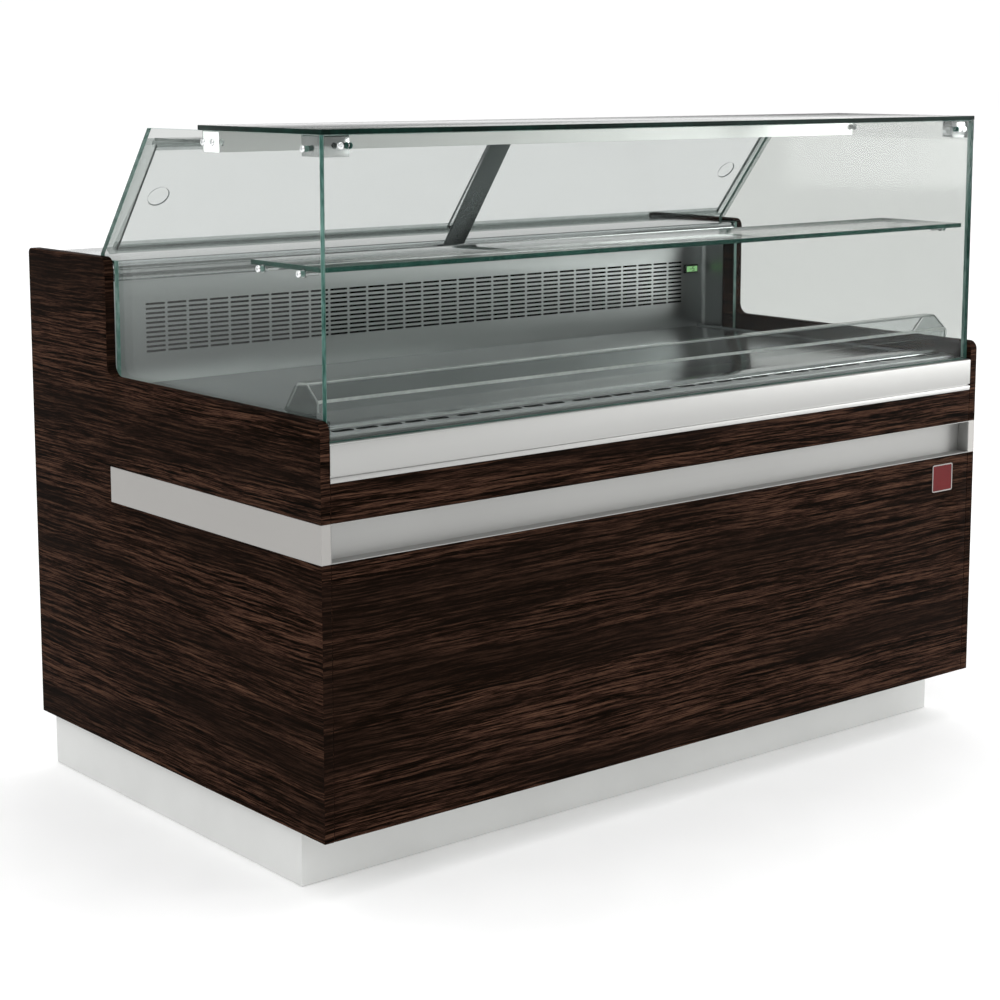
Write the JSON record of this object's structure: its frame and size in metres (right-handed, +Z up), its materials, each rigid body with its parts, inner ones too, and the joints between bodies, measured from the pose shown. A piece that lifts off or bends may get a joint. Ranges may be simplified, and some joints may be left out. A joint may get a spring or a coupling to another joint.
{
  "type": "refrigerated display counter",
  "caption": "Refrigerated serve-over counter: laminate cabinet, chilled stainless deck under straight glass with shelf and roof, sliding rear panes, storage doors behind.",
  "frame": {"origin": "on the floor under the middle of the counter", "axes": "+Z up, -Y towards the customer, +X along the counter to the customer's right"},
  "size_m": [1.569, 0.923, 1.203],
  "materials": {
    "wenge_laminate": "satin dark laminate, horizontal grain",
    "satin_aluminium": "satin",
    "brushed_stainless": "brushed",
    "float_glass": "clear, green edges",
    "clear_acrylic": "clear",
    "opal_diffuser": "opal",
    "dark_plastic": "fine matt",
    "light_plastic": "fine matt",
    "insulated_board": "coated sheet over foam",
    "compressor_paint": "gloss",
    "foot_rubber": "matt",
    "copper_tube": "bright copper tube",
    "red_enamel": "gloss"
  },
  "bodies": {
    "cabinet": {"side_panel_left": "wenge_laminate", "side_panel_right": "wenge_laminate", "front_panel": "wenge_laminate", "front_fascia": "wenge_laminate", "side_band_left": "satin_aluminium", "side_band_right": "satin_aluminium", "front_channel": "satin_aluminium", "front_rail": "satin_aluminium", "lamp_profile": "satin_aluminium", "closure_frame": "satin_aluminium", "mid_support": "satin_aluminium", "plinth": "satin_aluminium", "corner_bracket_left": "satin_aluminium", "corner_bracket_right": "satin_aluminium", "shelf_rest_left": "satin_aluminium", "shelf_rest_right": "satin_aluminium", "evaporator": "satin_aluminium", "condenser": "satin_aluminium", "hinge_pin_left": "satin_aluminium", "hinge_pin_right": "satin_aluminium", "back_wall": "brushed_stainless", "display_deck": "brushed_stainless", "intake_strip": "brushed_stainless", "worktop": "brushed_stainless", "rear_fascia": "brushed_stainless", "machine_grille": "brushed_stainless", "roof_glass": "float_glass", "front_glass": "float_glass", "side_glass_left": "float_glass", "side_glass_right": "float_glass", "shelf_glass": "float_glass", "top_closure": "clear_acrylic", "deflector": "clear_acrylic", "deflector_holder_left": "clear_acrylic", "deflector_holder_right": "clear_acrylic", "lamp_diffuser": "opal_diffuser", "temperature_display": "dark_plastic", "control_panel": "dark_plastic", "mains_inlet": "dark_plastic", "base_floor": "insulated_board", "insulated_tub": "insulated_board", "storage_divider": "insulated_board", "compressor": "compressor_paint", "foot_front_left": "foot_rubber", "foot_front_right": "foot_rubber", "foot_rear_left": "foot_rubber", "foot_rear_right": "foot_rubber", "discharge_line": "copper_tube", "badge": "red_enamel"},
    "left_pane": {"sliding_pane_left": "clear_acrylic"},
    "right_pane": {"sliding_pane_right": "clear_acrylic"},
    "left_door": {"door_left": "brushed_stainless", "handle_left": "dark_plastic"},
    "right_door": {"door_right": "brushed_stainless", "handle_right": "dark_plastic"},
    "evaporator_wheel": {"evaporator_fan": "dark_plastic"},
    "condenser_wheel": {"condenser_fan": "dark_plastic"},
    "up_key": {"button_up": "light_plastic"},
    "down_key": {"button_down": "light_plastic"},
    "power_rocker": {"main_switch": "light_plastic"}
  },
  "joints": [
    {"name": "left_pane_slide", "type": "slide", "parent": "cabinet", "child": "left_pane", "axis": [1, 0, 0], "range_m": [0, 0.7]},
    {"name": "right_pane_slide", "type": "slide", "parent": "cabinet", "child": "right_pane", "axis": [-1, 0, 0], "range_m": [0, 0.7]},
    {"name": "left_door_hinge", "type": "hinge", "parent": "cabinet", "child": "left_door", "pos_m": [-0.7445, 0.4325, 0.299], "axis": [0, 0, 1], "range_deg": [0, 105]},
    {"name": "right_door_hinge", "type": "hinge", "parent": "cabinet", "child": "right_door", "pos_m": [0.2935, 0.4325, 0.299], "axis": [0, 0, -1], "range_deg": [0, 105]},
    {"name": "evaporator_fan_spin", "type": "hinge", "parent": "cabinet", "child": "evaporator_wheel", "pos_m": [0.0005, -0.1615, 0.615], "axis": [0, 1, 0], "continuous": true},
    {"name": "condenser_fan_spin", "type": "hinge", "parent": "cabinet", "child": "condenser_wheel", "pos_m": [0.5555, 0.2735, 0.29], "axis": [0, 1, 0], "continuous": true},
    {"name": "up_key_press", "type": "slide", "parent": "cabinet", "child": "up_key", "axis": [0, -1, 0], "range_m": [0, 0.001], "stiffness_N_per_m": 300},
    {"name": "down_key_press", "type": "slide", "parent": "cabinet", "child": "down_key", "axis": [0, -1, 0], "range_m": [0, 0.001], "stiffness_N_per_m": 300},
    {"name": "power_rocker_tilt", "type": "hinge", "parent": "cabinet", "child": "power_rocker", "pos_m": [0.6405, 0.4426, 0.725], "axis": [-1, 0, 0], "range_deg": [0, 12]}
  ]
}
